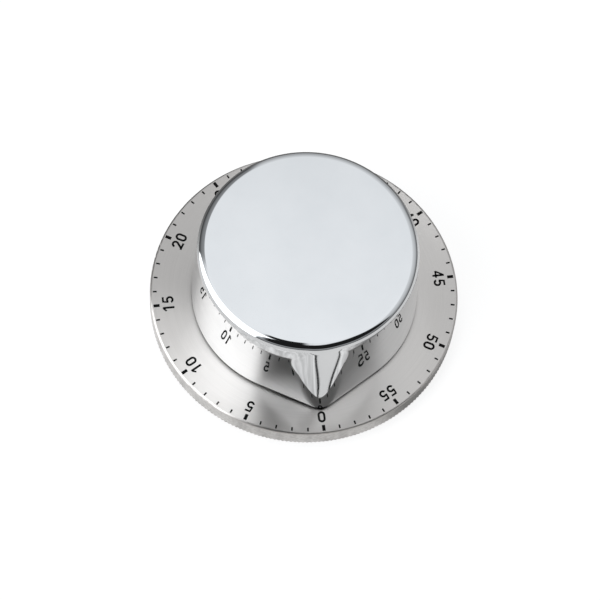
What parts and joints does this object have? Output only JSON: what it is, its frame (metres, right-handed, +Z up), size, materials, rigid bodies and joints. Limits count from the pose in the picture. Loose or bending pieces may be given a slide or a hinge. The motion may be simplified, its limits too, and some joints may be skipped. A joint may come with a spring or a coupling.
{
  "type": "kitchen timer",
  "caption": "Round wind-up kitchen timer: brushed steel minute dial, chromed pointer knob over a clockwork with escapement and striking gong.",
  "frame": {"origin": "centre of the underside, on the knob's axis", "axes": "+Z up along the knob's axis; minute 0 of the dial points to -Y, and minutes run clockwise seen from above (15 at -X)"},
  "size_m": [0.078, 0.078, 0.0307],
  "materials": {
    "dial_steel": "circular brushed, printed black numerals and ticks",
    "knob_chrome": "polished chrome plate on moulded plastic",
    "tray_plastic": "fine moulded texture",
    "ferrite": "sintered ferrite magnet",
    "screw_steel": "zinc plated",
    "gong_steel": "nickel plated bell steel",
    "plate_steel": "zinc plated sheet",
    "arbor_steel": "turned bright steel",
    "spring_steel": "blued spring steel",
    "wheel_brass": "stamped brass",
    "black_spring": "spring steel wire and leaf"
  },
  "bodies": {
    "base": {"dial_shell": "dial_steel", "back_tray": "tray_plastic", "magnets": "ferrite", "tray_screws": "screw_steel", "gong": "gong_steel", "gong_screw": "screw_steel", "lower_plate": "plate_steel", "upper_plate": "plate_steel", "pillars": "arbor_steel", "pillar_nuts": "screw_steel", "lower_bush": "wheel_brass", "upper_bush": "wheel_brass", "spring_stud": "arbor_steel", "mainspring": "spring_steel", "hammer_spring": "black_spring", "lever_spring": "black_spring"},
    "knob": {"knob_shell": "knob_chrome", "knob_clip": "black_spring", "main_arbor": "arbor_steel", "arbor_clip": "black_spring", "ratchet_wheel": "wheel_brass", "alarm_cam": "wheel_brass", "stop_arm": "plate_steel"},
    "main_wheel": {"main_wheel": "wheel_brass", "click_rivet": "arbor_steel", "click_spring": "black_spring", "click_spring_pin": "arbor_steel"},
    "click": {"click": "arbor_steel"},
    "second": {"second_arbor": "arbor_steel", "second_wheel": "wheel_brass"},
    "third": {"third_arbor": "arbor_steel", "third_wheel": "wheel_brass"},
    "escape": {"escape_arbor": "arbor_steel", "escape_wheel": "wheel_brass"},
    "strike": {"strike_arbor": "arbor_steel", "star_wheel": "wheel_brass"},
    "balance": {"balance_arbor": "arbor_steel", "balance_wheel": "wheel_brass", "pallet": "plate_steel", "pallet_pins": "arbor_steel"},
    "hammer": {"hammer_arbor": "arbor_steel", "hammer_tail": "plate_steel", "hammer_catch": "plate_steel", "hammer_arm": "plate_steel", "hammer_head": "wheel_brass"},
    "lever": {"lever_arbor": "arbor_steel", "release_lever": "plate_steel"}
  },
  "joints": [
    {"name": "knob_turn", "type": "hinge", "parent": "base", "child": "knob", "pos_m": [0, 0, 0], "axis": [0, 0, -1], "range_deg": [0, 351], "deforming": ["mainspring"]},
    {"name": "main_wheel_turn", "type": "hinge", "parent": "base", "child": "main_wheel", "pos_m": [0, 0, 0], "axis": [0, 0, -1], "range_deg": [0, 351]},
    {"name": "second_wheel_turn", "type": "hinge", "parent": "base", "child": "second", "pos_m": [0.01169, -0.00675, 0], "axis": [0, 0, -1], "range_deg": [-2808, 0]},
    {"name": "third_wheel_turn", "type": "hinge", "parent": "base", "child": "third", "pos_m": [0.01324, 0.00264, 0], "axis": [0, 0, -1], "range_deg": [0, 21060]},
    {"name": "escape_wheel_turn", "type": "hinge", "parent": "base", "child": "escape", "pos_m": [0.00834, 0.01062, 0], "axis": [0, 0, -1], "range_deg": [-168480, 0]},
    {"name": "strike_wheel_turn", "type": "hinge", "parent": "base", "child": "strike", "pos_m": [-0.01224, -0.00571, 0], "axis": [0, 0, -1], "range_deg": [-2808, 0]},
    {"name": "balance_swing", "type": "hinge", "parent": "base", "child": "balance", "pos_m": [0.00386, 0.01655, 0], "axis": [0, 0, -1], "range_deg": [-9, 9]},
    {"name": "hammer_swing", "type": "hinge", "parent": "base", "child": "hammer", "pos_m": [-0.00966, -0.01275, 0], "axis": [0, 0, -1], "range_deg": [-8, 6], "deforming": ["hammer_spring"]},
    {"name": "release_lever_drop", "type": "hinge", "parent": "base", "child": "lever", "pos_m": [0.00122, -0.01394, 0], "axis": [0, 0, -1], "range_deg": [0, 8], "deforming": ["lever_spring"]},
    {"name": "click_lift", "type": "hinge", "parent": "main_wheel", "child": "click", "pos_m": [-0.00142, 0.00808, 0], "axis": [0, 0, 1], "range_deg": [0, 12], "deforming": ["click_spring"]}
  ],
  "couplings": [
    {"joint": "main_wheel_turn", "follows": "knob_turn", "ratio": 1},
    {"joint": "second_wheel_turn", "follows": "knob_turn", "ratio": -8},
    {"joint": "third_wheel_turn", "follows": "knob_turn", "ratio": 60},
    {"joint": "escape_wheel_turn", "follows": "knob_turn", "ratio": -480},
    {"joint": "strike_wheel_turn", "follows": "knob_turn", "ratio": -8}
  ]
}
